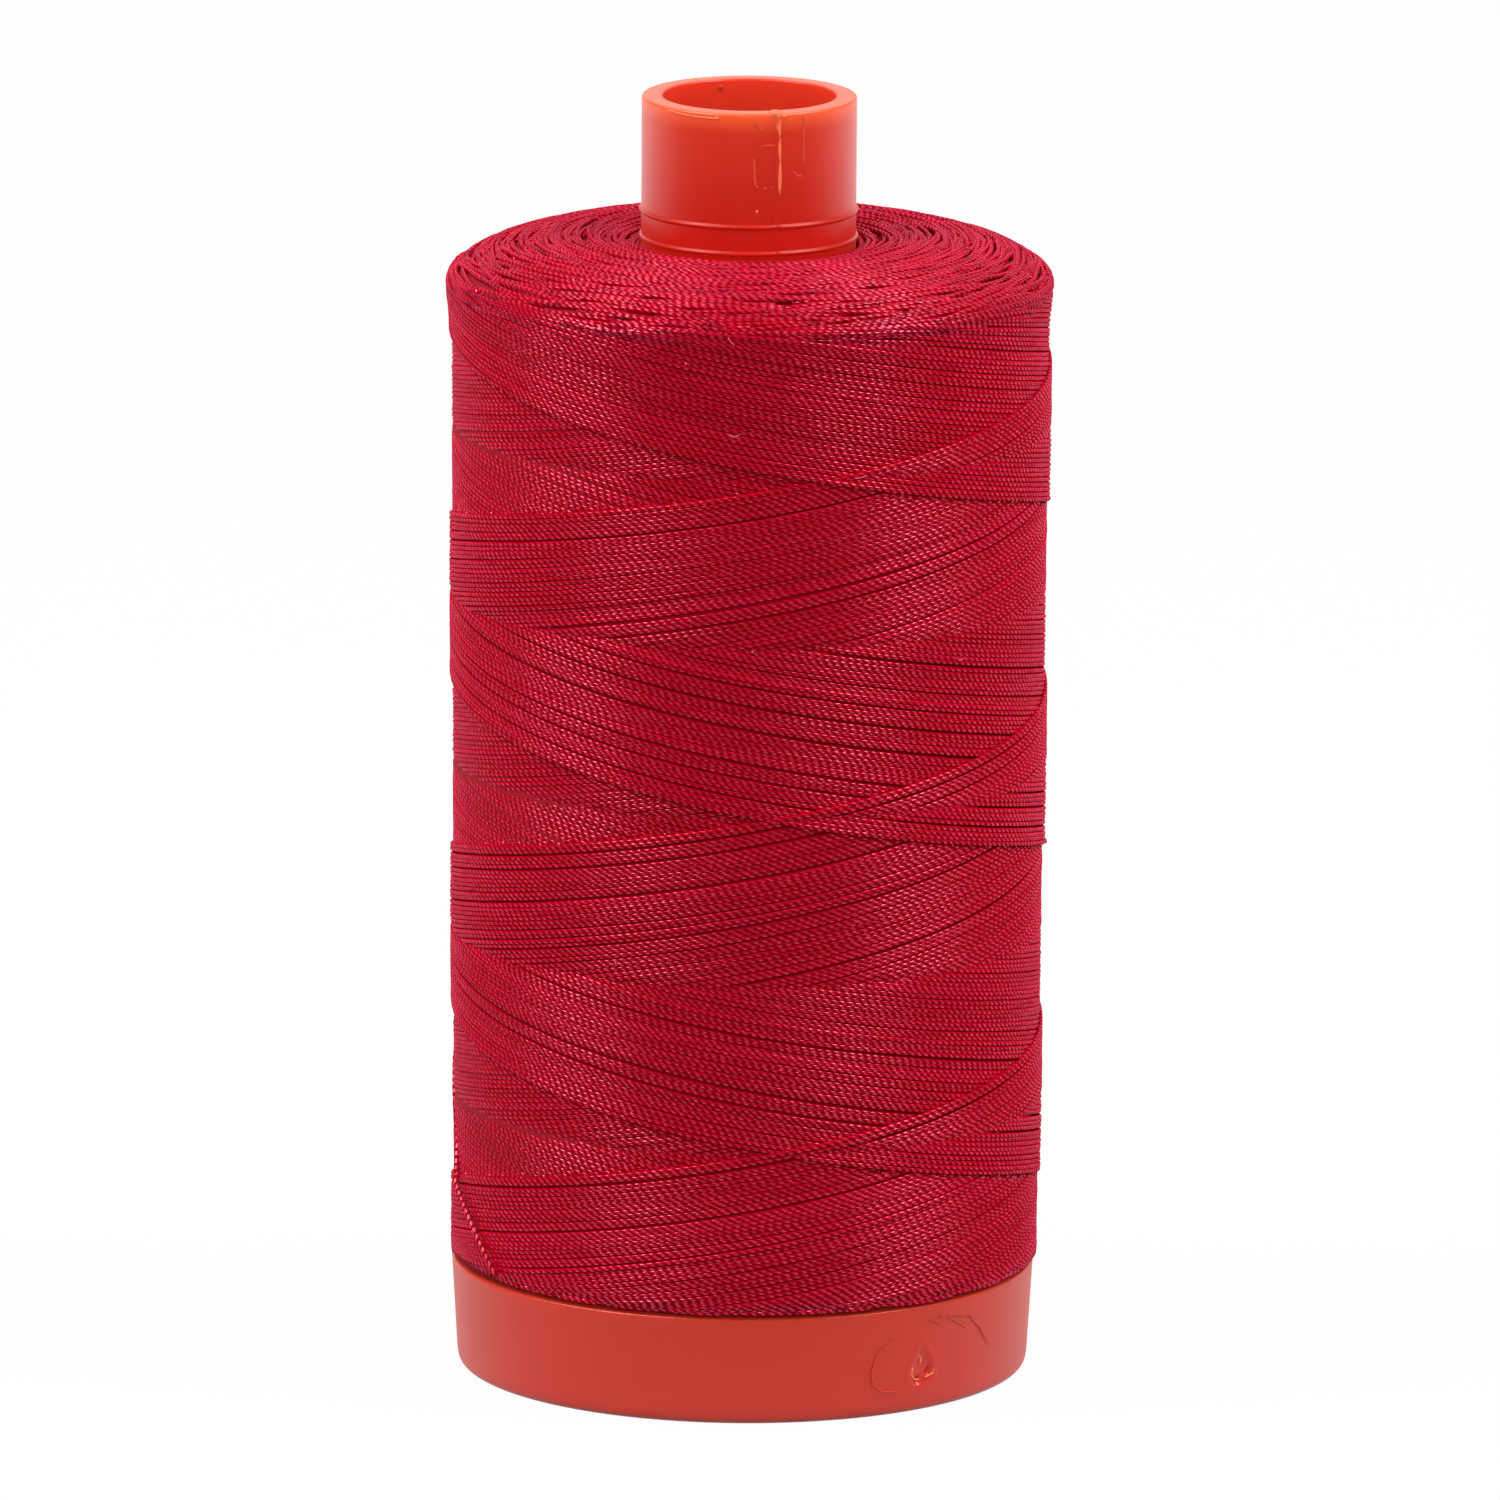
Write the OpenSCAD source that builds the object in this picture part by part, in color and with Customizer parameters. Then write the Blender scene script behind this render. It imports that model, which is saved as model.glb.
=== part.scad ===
// Cross-wound spool of sewing thread on a two-part moulded spool.
//
// A hollow core with a flange at its foot carries the wound thread. A shallow cup snaps on to the
// core's foot from below, and the loose end of the thread is held in the seam between the two.
// The axis of the spool is Z, and the origin is the middle of the face that it stands on.
// All lengths are in millimetres and all angles in degrees.

/* [Core] */
// Height of the whole spool, from the table to the top of the tube
spool_h = 76; // [66:0.5:90]
// Outside diameter of the tube
tube_d = 12.6; // [11.8:0.1:14]
// Diameter of the hole that the spool pin goes through
bore_d = 10.16; // [9:0.02:10.6]
// Radius on the edges of the tube's top rim
rim_round = 0.25; // [0.1:0.05:0.4]
// Length of bare tube above the wound thread
neck_h = 8.73; // [5:0.01:14]
// Distance from the wound thread up to the lower of the two raised rings
ring_up = 0.42; // [0.35:0.01:0.8]
// Distance between the two raised rings
ring_pitch = 1.58; // [1.2:0.01:1.8]
// Width of a raised ring along the tube
ring_w = 0.36; // [0.2:0.02:0.6]
// How far a raised ring stands out of the tube
ring_proud = 0.15; // [0.05:0.01:0.25]

/* [Flange] */
// How far the flange's edge stands in from the cup's rim
flange_inset = 0.38; // [0.1:0.02:1]
// Thickness of the flange at its edge
flange_edge_t = 0.4; // [0.3:0.05:0.8]
// How much thicker the flange is where it meets the tube
flange_rise = 0.45; // [0:0.05:0.8]
// Radius between the flange and the tube
root_round = 0.6; // [0.2:0.1:1]
// Gap between the skirt under the flange and the inside of the cup, where the loose end lies
skirt_gap = 0.6; // [0.45:0.05:1.5]
// Wall of the skirt
skirt_wall = 0.9; // [0.6:0.05:1.4]
// Depth of the skirt below the flange
skirt_h = 2.6; // [1.5:0.1:3]

/* [Cup] */
// Height of the cup, from the table to its rim
cup_h = 6.45; // [6:0.05:9]
// Outside diameter of the cup's rim
cup_rim_d = 34.36; // [28:0.02:40]
// Draft of the cup's side, which leans out from the table to the rim
cup_draft = 3.4; // [0:0.1:6]
// Wall of the cup's side
cup_wall = 1.1; // [0.9:0.05:1.3]
// Radius of the corner where the side meets the table
corner_round = 0.5; // [0.2:0.05:0.8]
// Radius on the rim's edges
rim_edge_round = 0.15; // [0.05:0.05:0.4]
// Thickness of the cup's floor
floor_t = 1.2; // [0.8:0.05:1.5]
// Height of the floor's underside above the table
foot_recess = 0.4; // [0.2:0.05:0.8]
// Width of the ring that the cup stands on
foot_ring_w = 2; // [1:0.1:3]
// Wall of the socket that holds the core's foot
socket_wall = 1.1; // [0.8:0.05:1.6]
// Height of the socket above the cup's floor
socket_h = 3.4; // [2.8:0.1:3.8]
// How many ribs stay the socket against the floor
rib_count = 4; // [4:1:8]
// Thickness of a rib
rib_t = 0.8; // [0.6:0.05:1.2]
// Height of a rib above the floor
rib_h = 1.2; // [0.8:0.1:1.4]
// How much wider than the bore the hole in the cup's floor is
hole_extra = 0.5; // [0.2:0.1:1]

/* [Snap] */
// How far the snap bead stands out of the core's foot
bead_proud = 0.2; // [0.1:0.02:0.3]
// Width of the snap bead along the tube
bead_w = 0.7; // [0.5:0.05:1]
// Height of the bead's middle above the cup's floor
bead_up = 1.5; // [1:0.1:2]
// Gap between the bead and the socket's lip
lip_clear = 0.02; // [0.01:0.01:0.05]
// Gap between the bead and the groove it sits in
groove_clear = 0.08; // [0.05:0.01:0.15]
// Gap between the core's foot and the cup's floor
seat_clear = 0.02; // [0.01:0.01:0.05]

/* [Thread] */
// Diameter of one strand of the thread
strand_d = 0.26; // [0.16:0.01:0.32]
// Gap left around the strand where it is nipped in the seam
nip_clear = 0.025; // [0.02:0.005:0.05]
// Gap between the thread and what it lies on
lie_clear = 0.02; // [0.01:0.01:0.05]
// How far the foot of the wound thread stands out past the cup's rim
wind_over = 0.17; // [0.05:0.01:1]
// How much further out the wound thread stands just under its shoulder than at its foot
wind_lean = 0.3; // [-0.5:0.05:1]
// How far the shoulder swells out, to the widest part of the spool
shoulder_swell = 0.18; // [0:0.02:0.5]
// Height of the dome's crest above the place where it meets the tube
dome_rise = 0.38; // [0.1:0.02:0.5]
// Radius of the dome's crest
dome_crest_r = 9.5; // [8:0.1:11]
// Height of the dome's crest above the shoulder
dome_drop = 2.8; // [1.5:0.1:4]
// Height over which the shoulder narrows to the waist
shoulder_h = 2.2; // [1:0.1:4]
// Height of the lowest thread above the flange's underside, where it slumps over the edge
slump_up = 0.14; // [0.1:0.01:0.35]
// Radius of the lower edge of the wound thread
slump_round = 0.28; // [0.1:0.02:0.4]

/* [Loose end] */
// Climb of the last wrap in one turn
wrap_lead = 20.3; // [16:0.1:26]
// Angle at which the last wrap crosses the right-hand side on its way to the loose end
wrap_leave_a = 360; // [340:1:380]
// Height at which the last wrap crosses there
wrap_leave_z = 31.45; // [28:0.05:36]
// Angle that the slack end runs round the winding before it reaches the seam
slack_sweep = 213; // [200:1:225]
// Angle that the end turns through while it passes the seam and drops into the cup
dive_sweep = 16; // [12:1:30]
// Depth of the loose end below the cup's rim, where it lies in the cup
tuck_depth = 1.4; // [0.8:0.1:1.8]
// How far round the loose end lies inside the cup
tuck_sweep = 70; // [20:5:120]

/* [Hidden] */
$fn = 96;

// Colours of the moulding and of the thread
orange_plastic = [0.93, 0.28, 0.13];
crimson_thread = [0.74, 0.07, 0.16];

// Step of a rounded edge, side count of the strand, and angle between its rings on the last
// wrap and on the slack end
arc_step = 15;
strand_sides = 6;
ring_step = 8;
slack_step = 5;
// A cut runs this far past the face that it opens
over = 1;

tube_r = tube_d / 2;
bore_r = bore_d / 2;
strand_r = strand_d / 2;

// Heights that the two mouldings share
floor_top = foot_recess + floor_t;
core_foot = floor_top + seat_clear;
bead_z = floor_top + bead_up;
seam = strand_d + 2 * nip_clear;
flange_z = cup_h + seam;
flange_edge_z = flange_z + flange_edge_t;
flange_root_z = flange_edge_z + flange_rise;
socket_top = floor_top + socket_h;

// Radii of the snap joint: the bead passes the lip and sits in the groove
bead_r = tube_r + bead_proud;
lip_r = bead_r + lip_clear;
groove_r = bead_r + groove_clear;
socket_r = lip_r + socket_wall;

// The cup's outline: its side leans out from foot to rim
cup_rim_r = cup_rim_d / 2;
cup_foot_r = cup_rim_r - cup_h * tan(cup_draft);
function cup_r(z) = cup_foot_r + (cup_rim_r - cup_foot_r) * z / cup_h;
function cup_inside_r(z) = cup_r(z) - cup_wall;

// Radii of the core that follow the cup's
skirt_foot_z = flange_z - skirt_h;
flange_r = cup_rim_r - flange_inset;
skirt_r = cup_inside_r(skirt_foot_z) - skirt_gap;

// The wound thread's outline
wind_bore_r = tube_r + lie_clear;
wind_foot_r = cup_rim_r + wind_over;
wind_waist_r = wind_foot_r + wind_lean;
wind_shoulder_r = wind_waist_r + shoulder_swell;
slump_z = flange_z + slump_up;
wind_h = spool_h - neck_h;
crest_z = wind_h + dome_rise;
shoulder_z = crest_z - dome_drop;
waist_z = shoulder_z - shoulder_h;
flange_gap_r = flange_r + lie_clear;

// Points of an arc about [r, z], from angle a to angle b, wide along r and high along z
function arc(r, z, wide, high, a, b) =
    let (steps = ceil(abs(b - a) / arc_step))
    [for (i = [0 : steps]) let (t = a + (b - a) * i / steps) [r + wide * cos(t), z + high * sin(t)]];

// Radius of the wound thread at a height: a straight flank, then the swell up to the shoulder
function wind_r(z) =
    z < waist_z
        ? wind_foot_r + (wind_waist_r - wind_foot_r) * (z - slump_z) / (waist_z - slump_z)
        : wind_waist_r + (wind_shoulder_r - wind_waist_r) * sin(90 * min(1, (z - waist_z) / shoulder_h));

// Points of the swell, from the waist up to the shoulder
swell_steps = 5;
swell = [
    for (i = [0 : swell_steps - 1])
        let (z = waist_z + shoulder_h * i / swell_steps)
        [wind_r(z), z]
];

// ---- Base cup -------------------------------------------------------------------------------

// Moulded cup that snaps on to the core's foot: side, floor, foot ring and socket in one
module base_cup() {
    foot_ring_r = cup_foot_r - corner_round - foot_ring_w;
    hole_r = bore_r + hole_extra / 2;
    color(orange_plastic) {
        difference() {
            rotate_extrude()
                polygon(concat(
                    [[hole_r, foot_recess], [foot_ring_r, foot_recess], [foot_ring_r + foot_recess, 0]],
                    arc(cup_foot_r - corner_round, corner_round, corner_round, corner_round, -90, 0),
                    arc(cup_rim_r - rim_edge_round, cup_h - rim_edge_round, rim_edge_round,
                        rim_edge_round, 0, 90),
                    arc(cup_inside_r(cup_h) + rim_edge_round, cup_h - rim_edge_round, rim_edge_round,
                        rim_edge_round, 90, 180),
                    [[cup_inside_r(floor_top), floor_top], [socket_r, floor_top]],
                    [[socket_r, socket_top], [lip_r, socket_top], [lip_r, floor_top]],
                    [[hole_r, floor_top]]
                ));
            snap_groove();
        }
        floor_ribs();
    }
}

// Groove inside the socket, a little wider and deeper than the bead that sits in it
module snap_groove() {
    half = bead_w / 2 + groove_clear;
    rotate_extrude()
        polygon([
            [tube_r, bead_z - half - bead_proud],
            [lip_r - lip_clear, bead_z - half - bead_proud],
            [groove_r, bead_z - half],
            [groove_r, bead_z + half],
            [lip_r - lip_clear, bead_z + half + bead_proud],
            [tube_r, bead_z + half + bead_proud]
        ]);
}

// Low ribs on the floor, from the socket to the side
module floor_ribs() {
    bite = min(socket_wall, cup_wall) / 2;
    rib_in = socket_r - bite;
    rib_out = cup_inside_r(floor_top) + bite;
    for (i = [0 : rib_count - 1])
        rotate([0, 0, 360 * (i + 0.5) / rib_count])
            translate([rib_in, -rib_t / 2, floor_top - floor_t / 2])
                cube([rib_out - rib_in, rib_t, floor_t / 2 + rib_h]);
}

// ---- Spool core -----------------------------------------------------------------------------

// Moulded core: the tube with its bore, the flange, the skirt and the snap bead
module spool_core() {
    lower_ring_z = wind_h + ring_up;
    color(orange_plastic)
        difference() {
            union() {
                rotate_extrude()
                    polygon(concat(
                        [[bore_r - over / 2, core_foot]],
                        [[tube_r, core_foot], [tube_r, flange_z]],
                        [[flange_r, flange_z], [flange_r, flange_edge_z]],
                        root_fillet(),
                        arc(tube_r - rim_round, spool_h - rim_round, rim_round, rim_round, 0, 90),
                        [[bore_r - over / 2, spool_h]]
                    ));
                skirt();
                raised_ring(lower_ring_z, ring_w, ring_proud);
                raised_ring(lower_ring_z + ring_pitch, ring_w, ring_proud);
                raised_ring(bead_z, bead_w, bead_proud);
            }
            translate([0, 0, core_foot - over])
                cylinder(r = bore_r, h = spool_h - core_foot + 2 * over);
        }
}

// Curve that leads the flange's sloping top into the tube
function root_fillet() =
    let (slope = flange_rise / (flange_r - tube_r))
    concat(
        [[tube_r + root_round, flange_root_z - slope * root_round]],
        arc(tube_r + root_round, flange_root_z + root_round, root_round, root_round,
            270 - arc_step, 180)
    );

// Ring under the flange, which fits inside the cup's side and centres the cup
module skirt() {
    bite = flange_edge_t / 2;
    lead_in = skirt_wall / 3;
    rotate_extrude()
        polygon([
            [skirt_r - skirt_wall, skirt_foot_z],
            [skirt_r - lead_in, skirt_foot_z],
            [skirt_r, skirt_foot_z + lead_in],
            [skirt_r, flange_z + bite],
            [skirt_r - skirt_wall, flange_z + bite]
        ]);
}

// A low rounded ring round the tube, at height z
module raised_ring(z, w, proud) {
    bite = (tube_r - bore_r) / 4;
    rotate_extrude()
        polygon(concat(
            [[tube_r - bite, z - w / 2]],
            arc(tube_r, z, proud, w / 2, -90, 90),
            [[tube_r - bite, z + w / 2]]
        ));
}

// ---- Wound thread ---------------------------------------------------------------------------

// The cross-wound thread as one body: flat on the flange, slumped a little over its edge,
// nearly straight up the side, then over a round shoulder to a shallow dome round the tube
module thread_package() {
    root_r = tube_r + root_round + lie_clear;
    slope = flange_rise / (flange_r - tube_r);
    color(crimson_thread)
        rotate_extrude()
            polygon(concat(
                [[wind_bore_r, flange_root_z + root_round + lie_clear]],
                [[root_r, flange_root_z + lie_clear]],
                [[flange_gap_r, flange_edge_z + lie_clear], [flange_gap_r, slump_z]],
                arc(wind_foot_r - slump_round, slump_z + slump_round, slump_round, slump_round, -90, 0),
                swell,
                arc(dome_crest_r, shoulder_z, wind_shoulder_r - dome_crest_r, dome_drop, 0, 90),
                arc(dome_crest_r, wind_h, dome_crest_r - wind_bore_r, dome_rise, 90, 180)
            ));
}

// ---- Loose end ------------------------------------------------------------------------------

// Angle and height of the last wrap where it leaves the shoulder
wrap_start_z = waist_z - strand_d;
wrap_start_a = wrap_leave_a - 360 * (wrap_start_z - wrap_leave_z) / wrap_lead;

// The last wrap: down round the winding, steadily to the place where it leaves the lay
wrap_rings = ceil((wrap_leave_a - wrap_start_a) / ring_step);
wrap_route = [
    for (i = [0 : wrap_rings - 1])
        let (part = i / wrap_rings)
        let (z = wrap_start_z + (wrap_leave_z - wrap_start_z) * part)
        on_winding(wrap_start_a + (wrap_leave_a - wrap_start_a) * part, z)
];

// The loose end, as [share of the way round, share of the height left above the cup's rim]:
// slack round the back, steep down the left side, then to the lower edge of the winding
slack_shape = [
    [0, 1], [0.1, 0.94], [0.2, 0.875], [0.3, 0.81], [0.4, 0.745], [0.5, 0.675], [0.6, 0.61],
    [0.7, 0.555], [0.75, 0.525], [0.8, 0.49], [0.83, 0.455], [0.86, 0.375], [0.88, 0.295],
    [0.9, 0.23], [0.92, 0.19], [0.95, 0.14], [0.98, 0.078], [1, 0.032]
];
slack_rings = ceil(slack_sweep / slack_step);
slack_route = [
    for (i = [0 : slack_rings])
        let (z = cup_h + lookup(i / slack_rings, slack_shape) * (wrap_leave_z - cup_h))
        on_winding(wrap_leave_a + slack_sweep * i / slack_rings, z)
];

// Through the seam between flange and cup, over the rim and down into the cup
nip_a = wrap_leave_a + slack_sweep;
seam_z = cup_h + seam / 2;
tuck_z = cup_h - tuck_depth;
tuck_r = (cup_inside_r(tuck_z) + skirt_r) / 2;
rim_inner_r = cup_inside_r(cup_h);
function dive_a(share) = nip_a + dive_sweep * share;
seam_route = [
    on_ring(dive_a(0.08), wind_foot_r, seam_z + strand_r / 2),
    on_ring(dive_a(0.15), wind_foot_r - strand_d, seam_z),
    on_ring(dive_a(0.28), (cup_rim_r + rim_inner_r) / 2, seam_z),
    on_ring(dive_a(0.44), rim_inner_r, seam_z),
    on_ring(dive_a(0.56), tuck_r, seam_z - strand_d),
    on_ring(dive_a(0.75), tuck_r, (seam_z + tuck_z) / 2),
    on_ring(dive_a(1), tuck_r, tuck_z)
];
tuck_rings = ceil(tuck_sweep / ring_step);
tuck_route = [
    for (i = [1 : tuck_rings])
        on_ring(dive_a(1) + tuck_sweep * i / tuck_rings, tuck_r, tuck_z)
];

// A point at angle a, radius r and height z, and one that lies on the winding
function on_ring(a, r, z) = [r * cos(a), r * sin(a), z];
function on_winding(a, z) = on_ring(a, wind_r(z) / cos(ring_step / 2) + strand_r + lie_clear, z);

// A round strand swept along a route, with one ring of points square to the route at each
function unit(v) = v / norm(v);
function along(route, i) =
    unit(route[min(i + 1, len(route) - 1)] - route[max(i - 1, 0)]);
function strand_ring(centre, way) =
    let (side = unit(cross(way, unit([centre[0], centre[1], 0]))), up = cross(side, way))
    [for (k = [0 : strand_sides - 1])
        centre + strand_r * (cos(360 * k / strand_sides) * side + sin(360 * k / strand_sides) * up)];

module strand(route) {
    rings = len(route);
    points = [for (i = [0 : rings - 1]) each strand_ring(route[i], along(route, i))];
    sides = [
        for (i = [0 : rings - 2]) for (k = [0 : strand_sides - 1])
            let (a = i * strand_sides + k, b = i * strand_sides + (k + 1) % strand_sides)
            [a, b, b + strand_sides, a + strand_sides]
    ];
    first = [for (k = [strand_sides - 1 : -1 : 0]) k];
    last = [for (k = [0 : strand_sides - 1]) (rings - 1) * strand_sides + k];
    polyhedron(points, concat(sides, [first, last]));
}

// The thread's running end: its last wrap down the package, and the tail tucked into the seam
module thread_end() {
    color(crimson_thread)
        strand(concat(wrap_route, slack_route, seam_route, tuck_route));
}

base_cup();
spool_core();
thread_package();
thread_end();
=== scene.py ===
"""Spool of cross-wound sewing thread: the looks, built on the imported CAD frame.

Sizes are in millimetres, angles are azimuths in degrees about the spool's axis from +X,
and 270 degrees is the front. Each mesh is scaled to metres when its piece is made.
"""

import random
from bisect import bisect
from math import atan2, cos, degrees, exp, hypot, pi, radians, sin, tau

import bmesh
import bpy
from mathutils import Matrix, Vector


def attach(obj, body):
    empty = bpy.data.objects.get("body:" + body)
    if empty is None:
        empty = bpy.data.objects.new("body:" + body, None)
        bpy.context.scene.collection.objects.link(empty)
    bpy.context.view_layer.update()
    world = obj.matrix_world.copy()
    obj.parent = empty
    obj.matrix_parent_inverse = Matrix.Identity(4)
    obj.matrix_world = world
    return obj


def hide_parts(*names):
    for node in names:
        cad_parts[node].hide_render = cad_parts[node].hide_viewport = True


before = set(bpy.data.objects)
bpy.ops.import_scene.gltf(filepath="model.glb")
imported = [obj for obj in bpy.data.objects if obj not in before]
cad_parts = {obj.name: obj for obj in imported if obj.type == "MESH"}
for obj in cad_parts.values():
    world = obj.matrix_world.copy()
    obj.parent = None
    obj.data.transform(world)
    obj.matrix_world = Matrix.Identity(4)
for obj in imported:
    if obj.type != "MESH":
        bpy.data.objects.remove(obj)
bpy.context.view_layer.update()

# ---- Camera ------------------------------------------------------------------------------------
# A long lens 1.3 m in front of the spool and a little above it, so that the rim of the tube and
# the foot of the cup both show as shallow ovals.

EYE_DISTANCE = 1345.0
EYE_ELEVATION = radians(12.154)
EYE_ROLL = radians(0.35)
TARGET = Vector((0.266, 0.0, 36.775))
PIXELS_TO_FOCUS = 22846.0
FRAME_PIXELS = 1500.0
MM = 0.001

lens = bpy.data.cameras.new("camera")
lens.sensor_width = 36.0
lens.lens = PIXELS_TO_FOCUS / FRAME_PIXELS * lens.sensor_width
lens.clip_start, lens.clip_end = 0.05, 20.0
camera = bpy.data.objects.new("camera", lens)
eye = TARGET + EYE_DISTANCE * Vector((0.0, -cos(EYE_ELEVATION), sin(EYE_ELEVATION)))
camera.matrix_world = (
    Matrix.Translation(eye * MM)
    @ Matrix.Rotation(pi / 2 - EYE_ELEVATION, 4, "X")
    @ Matrix.Rotation(EYE_ROLL, 4, "Z")
)
bpy.context.collection.objects.link(camera)
bpy.context.scene.camera = camera

# ---- Spool core --------------------------------------------------------------------------------
# One moulding in orange polystyrene: the tube with two raised rings near its open top, the
# flange that the thread is wound against, a skirt under it, and the foot that snaps into the cup.

TUBE_R, BORE_R, TOP_Z = 6.3, 5.08, 76.0
RIM_ROUND = 0.16
RINGS_Z, RING_W, RING_PROUD = (67.69, 69.27), 0.24, 0.13
FLANGE_R, FLANGE_Z, FLANGE_EDGE = 16.8, 6.76, 0.4
CORE_FOOT_Z, SKIRT_IN_R, SKIRT_R, SKIRT_Z, SKIRT_CHAMFER = 1.62, 14.44, 15.34, 4.16, 0.3
PARTING_AZ = (285.5, 105.5)
PARTING_PROUD, FLASH_PROUD, FLASH_FROM = 0.04, 0.11, 71.4


def arc(r, z, wide, high, start, end, steps=8):
    """Points of an oval arc about (r, z), between two angles in degrees."""
    turn = [radians(start + (end - start) * i / steps) for i in range(steps + 1)]
    return [(r + wide * cos(t), z + high * sin(t)) for t in turn]


def turned(outline, steps=360):
    """A closed outline of (radius, height) pairs, turned once round the spool's axis."""
    bm = bmesh.new()
    points = [bm.verts.new((r, 0, z)) for r, z in outline]
    sides = [bm.edges.new(pair) for pair in zip(points, points[1:] + points[:1])]
    bmesh.ops.spin(bm, geom=points + sides, cent=(0, 0, 0), axis=(0, 0, 1), angle=tau,
                   steps=steps, use_merge=True)
    bmesh.ops.recalc_face_normals(bm, faces=bm.faces)
    return bm


def piece(name, bm, material, body, slot, *nodes):
    """The bmesh as a smooth piece in metres, on its body, in place of its CAD nodes."""
    bmesh.ops.scale(bm, vec=(MM, MM, MM), verts=bm.verts)
    for face in bm.faces:
        face.smooth = True
    mesh = bpy.data.meshes.new(name)
    bm.to_mesh(mesh)
    bm.free()
    mesh.materials.append(material)
    made = bpy.data.objects.new(name, mesh)
    bpy.context.collection.objects.link(made)
    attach(made, body)
    if nodes:
        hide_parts(*nodes)
    return made


def linear(code):
    """A hex sRGB colour as linear RGBA."""
    parts = [int(code[i:i + 2], 16) / 255 for i in (1, 3, 5)]
    return [c / 12.92 if c <= 0.04045 else ((c + 0.055) / 1.055) ** 2.4 for c in parts] + [1.0]


def add_node(tree, kind, links=(), **settings):
    """One shader node with its settings; links holds (input, output socket or value) pairs."""
    made = tree.nodes.new("ShaderNode" + kind)
    for key, value in settings.items():
        setattr(made, key, value)
    for socket, source in links:
        if isinstance(source, bpy.types.NodeSocket):
            tree.links.new(source, made.inputs[socket])
        else:
            made.inputs[socket].default_value = source
    return made


def shader(name):
    """A new material's tree, its Principled shader and its Object coordinates."""
    material = bpy.data.materials.new(name)
    material.use_nodes = True
    tree = material.node_tree
    surface = tree.nodes["Principled BSDF"]
    place = add_node(tree, "TexCoord").outputs["Object"]
    return material, tree, surface, place


rings = []
for height in RINGS_Z:
    rings += [(TUBE_R, height - RING_W / 2 - 0.06)]
    rings += arc(TUBE_R, height, RING_PROUD, RING_W / 2, -90, 90)
    rings += [(TUBE_R, height + RING_W / 2 + 0.06)]
core = turned(
    [(BORE_R, CORE_FOOT_Z), (TUBE_R, CORE_FOOT_Z), (TUBE_R, 2.75)]
    + arc(TUBE_R, 3.1, 0.2, 0.35, -90, 90)
    + [(TUBE_R, FLANGE_Z), (SKIRT_IN_R, FLANGE_Z), (SKIRT_IN_R, SKIRT_Z)]
    + [(SKIRT_R - SKIRT_CHAMFER, SKIRT_Z), (SKIRT_R, SKIRT_Z + SKIRT_CHAMFER)]
    + [(SKIRT_R, FLANGE_Z), (FLANGE_R - 0.1, FLANGE_Z), (FLANGE_R, FLANGE_Z + 0.1)]
    + [(FLANGE_R, FLANGE_Z + FLANGE_EDGE), (6.9, 7.59)]
    + arc(TUBE_R + 0.6, 8.21, 0.6, 0.6, 270, 180)
    + rings
    + [(TUBE_R, 71.0), (TUBE_R, 72.5), (TUBE_R, 74.0)]
    + arc(TUBE_R - RIM_ROUND, TOP_Z - RIM_ROUND, RIM_ROUND, RIM_ROUND, 0, 90)
    + arc(BORE_R + 0.12, TOP_Z - 0.12, 0.12, 0.12, 90, 180)
    + [(BORE_R, 60.0)]
)
for vert in core.verts:
    radius, azimuth = hypot(vert.co.x, vert.co.y), degrees(atan2(vert.co.y, vert.co.x)) % 360
    beside = min(abs(azimuth - line) for line in PARTING_AZ)
    if TUBE_R - 0.01 < radius < TUBE_R + 0.2 and vert.co.z > 66 and beside < 0.6:
        proud = FLASH_PROUD if vert.co.z > FLASH_FROM else PARTING_PROUD
        vert.co.xy *= (TUBE_R + proud) / radius


def bead(bm, azimuth, r, z, wide, high, proud, turn=0.0):
    """A squashed ball on an upright surface, its width turned up from level by an angle."""
    ball = bmesh.ops.create_icosphere(bm, subdivisions=2, radius=1.0)["verts"]
    centre = (0, 0, 0)
    bmesh.ops.scale(bm, vec=(proud, wide / 2, high / 2), verts=ball)
    bmesh.ops.rotate(bm, cent=centre, matrix=Matrix.Rotation(radians(turn), 3, "X"), verts=ball)
    bmesh.ops.translate(bm, vec=(r, 0, z), verts=ball)
    bmesh.ops.rotate(bm, cent=centre, matrix=Matrix.Rotation(radians(azimuth), 3, "Z"), verts=ball)


def wisp(bm, spots, r, thick, proud):
    """A fine raised line through (azimuth, height) spots: a long bead from each to the next."""
    for (a, z), (b, y) in zip(spots, spots[1:]):
        across, up = radians(b - a) * r, y - z
        bead(bm, (a + b) / 2, r, (z + y) / 2, 1.45 * hypot(across, up), thick, proud,
             degrees(atan2(up, across)))


bead(core, 109.5, BORE_R, 75.5, 0.35, 0.4, 0.06)

styrene, tree, surface, place = shader("moulded_orange_polystyrene")
# Glossy injection-moulded polystyrene, a little translucent. Its colour is painted by height with
# light and shade: a painted glow, paler and more orange, at the top of the tube where light gets
# in at the free edge, and painted shade with the thread's red bounce light, deeper red, just above
# the thread; inside the bore it keeps a plain colour. A glow along the sides of the tube, and a
# faint waviness from the mould.
height = add_node(tree, "SeparateXYZ", [(0, place)]).outputs["Z"]
up = add_node(tree, "MapRange", [("Value", height), ("From Min", 0.0), ("From Max", 0.076)])
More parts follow.
